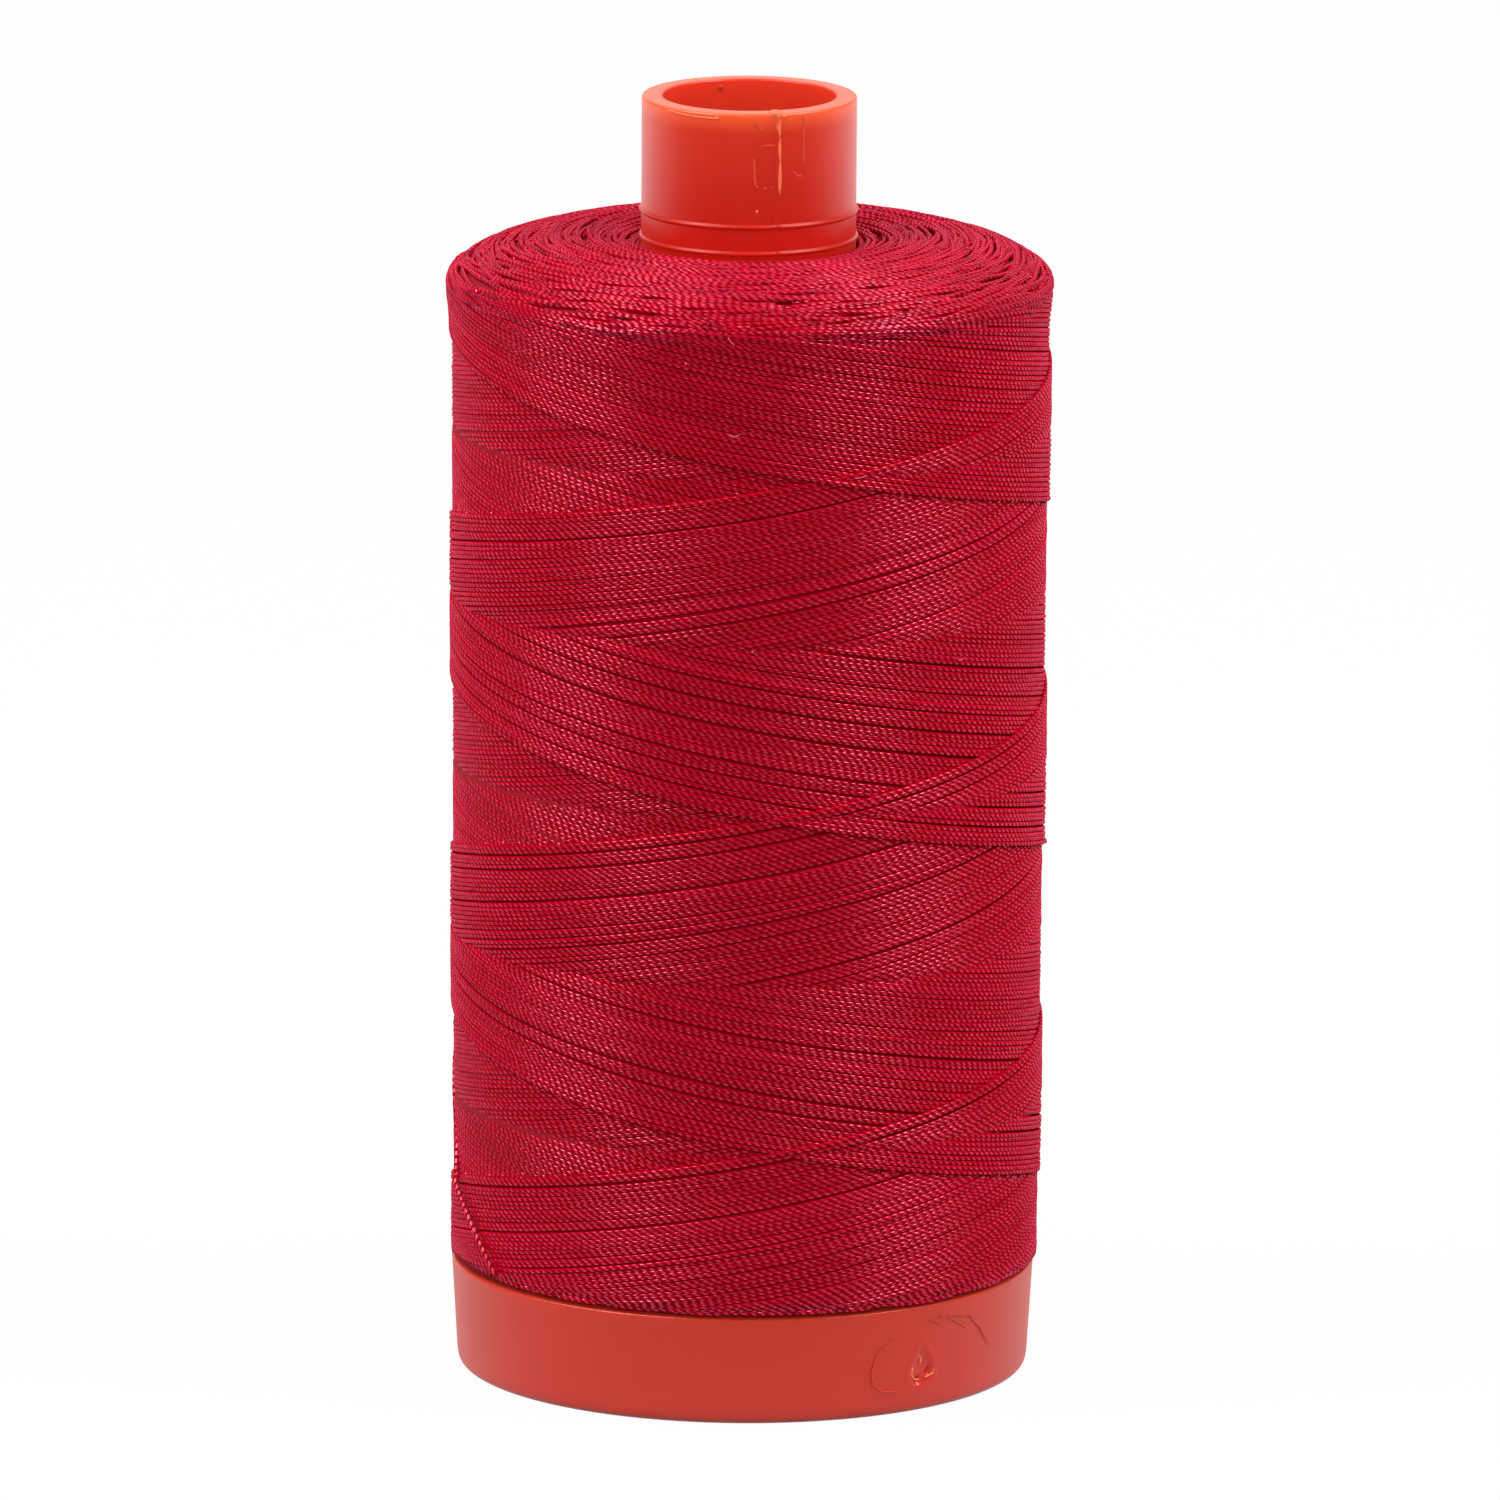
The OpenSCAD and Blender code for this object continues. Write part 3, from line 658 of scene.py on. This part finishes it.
strands("last_wrap", [last_run], cotton, "spool", "thread_end")

tail_run = [last_run[-1]]
for step in range(1, TAIL_STEPS + 1):
    share = step / TAIL_STEPS
    azimuth = LEAVE_AZ + TAIL_SWEEP * share
    z = SEAM_Z + between(SLACK, share) * (LEAVE_Z - SEAM_Z)
    free = min(1.0, max(0.0, share - FREE_FROM) / FREE_OVER)
    tail_run.append((azimuth, z, *on_skin(z, top_of(azimuth, z) + STRAND_R * (2.4 * free - 1.0))))
for turn, r, z in DIVE:
    tail_run.append((LEAVE_AZ + TAIL_SWEEP + turn, z, r, z, 0.0, 1.0))
strands("loose_end", [tail_run], cotton, "spool", "thread_end", flat=1.0, full=1.2, sides=10,
        twist=0.5, slack=1.2)

# ---- Lint --------------------------------------------------------------------------------------
# Short loose fibres and specks of fluff that cling to the cotton.

fluff, _, surface, _ = shader("cotton_lint")
# Undyed ends of fibre: pale pink and matt against the crimson.
surface.inputs["Base Color"].default_value = linear("#D8607A")
surface.inputs["Roughness"].default_value = 0.9
lint = bmesh.new()
for spots in (((266.4, 59.3), (267.6, 59.12), (268.6, 59.3)),
              ((290.6, 56.5), (291.7, 56.51), (293, 56.6)),
              ((313.8, 45.1), (314.5, 44.9), (315.6, 44.95)), ((244.6, 27.6), (245.0, 27.35)),
              ((266.4, 65.0), (266.8, 64.8), (267.4, 64.6))):
    wisp(lint, spots, flank_r(spots[0][1]) + LAYER, 0.05, 0.04)
for azimuth, height in ((258.4, 63.4), (295.1, 61.1), (271.2, 46.4)):
    bead(lint, azimuth, flank_r(height) + LAYER, height, 0.13, 0.13, 0.06)
piece("lint", lint, fluff, "spool", "crimson_thread")

# ---- Floor, light and surroundings -------------------------------------------------------------
# A plain pale floor that keeps a soft shadow, a soft lamp high on either side, and a wide fill in
# front and a low one behind on either side, which the gloss doesn't show.

floor_mesh = bpy.data.meshes.new("floor")
bm = bmesh.new()
bmesh.ops.create_circle(bm, cap_ends=True, segments=96, radius=2.5)
bm.to_mesh(floor_mesh)
bm.free()
floor = bpy.data.objects.new("floor", floor_mesh)
bpy.context.collection.objects.link(floor)
paper = bpy.data.materials.new("white_paper")
paper.use_nodes = True
tree = paper.node_tree
tree.nodes.clear()
seen = add_node(tree, "LightPath")
place = add_node(tree, "TexCoord").outputs["Object"]
depth = add_node(tree, "SeparateXYZ", [(0, place)]).outputs["Y"]
far = add_node(tree, "MapRange", [("Value", depth), ("From Min", -0.2), ("From Max", 0.2),
                                  ("To Min", 0.04), ("To Max", 1.35)])
mirrored = add_node(tree, "Math", [(0, seen.outputs["Is Glossy Ray"]), (1, far.outputs[0])],
                    operation="MULTIPLY")
white = add_node(tree, "Math", [(0, seen.outputs["Is Camera Ray"]), (1, 0.94),
                                (2, mirrored.outputs[0])], operation="MULTIPLY_ADD")
matte = add_node(tree, "BsdfDiffuse", [("Color", linear("#404040"))])
glow = add_node(tree, "Emission", [("Strength", white.outputs[0])])
total = add_node(tree, "AddShader", [(0, matte.outputs[0]), (1, glow.outputs[0])])
add_node(tree, "OutputMaterial", [(0, total.outputs[0])])
floor_mesh.materials.append(paper)


def softbox(name, azimuth, elevation, distance, width, tall, power, mirrored=True):
    """A rectangular soft lamp that faces the spool, and that its gloss shows or doesn't."""
    lamp = bpy.data.lights.new(name, "AREA")
    lamp.shape, lamp.size, lamp.size_y, lamp.energy = "RECTANGLE", width, tall, power
    made = bpy.data.objects.new(name, lamp)
    a, e = radians(azimuth), radians(elevation)
    toward = Vector((cos(a) * cos(e), sin(a) * cos(e), sin(e)))
    made.location = toward * distance + Vector((0, 0, 0.04))
    made.rotation_euler = toward.to_track_quat("Z", "Y").to_euler()
    made.visible_glossy = mirrored
    bpy.context.collection.objects.link(made)


softbox("left_softbox", 198, 51, 0.8, 0.45, 0.45, 4.6)
softbox("right_softbox", 342, 51, 0.8, 0.45, 0.45, 4.6)
softbox("front_fill", 270, 20, 1.0, 0.8, 0.6, 7.0, mirrored=False)
softbox("left_fill", 162, 8, 0.8, 0.4, 0.5, 2.4, mirrored=False)
softbox("right_fill", 18, 8, 0.8, 0.4, 0.5, 2.4, mirrored=False)

world = bpy.data.worlds.new("studio")
bpy.context.scene.world = world
world.use_nodes = True
tree = world.node_tree
tree.nodes.clear()
way_out = add_node(tree, "TexCoord").outputs["Generated"]
depth = add_node(tree, "SeparateXYZ", [(0, way_out)]).outputs["Y"]
room = add_node(tree, "MapRange", [("Value", depth), ("From Min", 0.6), ("From Max", 0.95),
                                   ("To Min", 0.08), ("To Max", 1.1)])
seen = add_node(tree, "LightPath")
strength = add_node(tree, "Math", [(0, seen.outputs["Is Camera Ray"]), (1, room.outputs[0])],
                    operation="MAXIMUM")
sky = add_node(tree, "Background", [("Color", (1, 1, 1, 1)), ("Strength", strength.outputs[0])])
add_node(tree, "OutputWorld", [(0, sky.outputs[0])])

bpy.context.scene.view_settings.view_transform = "Standard"
